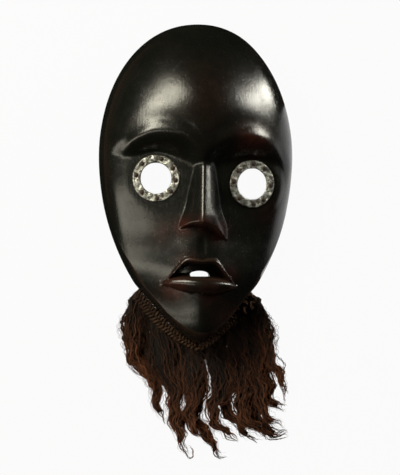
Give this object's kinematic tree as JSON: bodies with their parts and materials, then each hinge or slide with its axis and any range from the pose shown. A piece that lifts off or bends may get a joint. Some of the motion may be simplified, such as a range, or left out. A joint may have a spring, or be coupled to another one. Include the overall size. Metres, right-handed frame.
{
  "type": "dan mask",
  "caption": "Carved oval wooden face mask with round metal eye rings, open mouth, pointed chin and a plaited, hanging fibre beard.",
  "frame": {"origin": "on the floor (the plane of the rim) under the middle of the whole piece, beard included", "axes": "+X to the viewer's right, +Y towards the crown of the head, +Z out of the face; the mask lies on its rim, face up"},
  "size_m": [0.144, 0.321, 0.0585],
  "materials": {
    "wood": "hand-polished near-black brown patina, worn reddish brown on lips and right brow",
    "ring_sheet": "dull grey-silver sheet, dented, scratched and spotted with dark corrosion",
    "tack_iron": "small dark rusted tack heads",
    "plait_fibre": "matt dark brown plaited plant fibre",
    "beard_fibre": "matt red-brown twisted plant fibre with frayed lighter tips"
  },
  "bodies": {
    "root": {"wooden_face": "wood", "left_eye_ring": "ring_sheet", "right_eye_ring": "ring_sheet", "left_eye_tack_1": "tack_iron", "left_eye_tack_2": "tack_iron", "left_eye_tack_3": "tack_iron", "left_eye_tack_4": "tack_iron", "left_eye_tack_5": "tack_iron", "left_eye_tack_6": "tack_iron", "left_eye_tack_7": "tack_iron", "left_eye_tack_8": "tack_iron", "right_eye_tack_1": "tack_iron", "right_eye_tack_2": "tack_iron", "right_eye_tack_3": "tack_iron", "right_eye_tack_4": "tack_iron", "right_eye_tack_5": "tack_iron", "right_eye_tack_6": "tack_iron", "right_eye_tack_7": "tack_iron", "right_eye_tack_8": "tack_iron", "chin_plait": "plait_fibre", "beard_lock_01": "beard_fibre", "beard_lock_02": "beard_fibre", "beard_lock_03": "beard_fibre", "beard_lock_04": "beard_fibre", "beard_lock_05": "beard_fibre", "beard_lock_06": "beard_fibre", "beard_lock_07": "beard_fibre", "beard_lock_08": "beard_fibre", "beard_lock_09": "beard_fibre", "beard_lock_10": "beard_fibre", "beard_lock_11": "beard_fibre", "beard_lock_12": "beard_fibre", "beard_lock_13": "beard_fibre"}
  },
  "joints": []
}
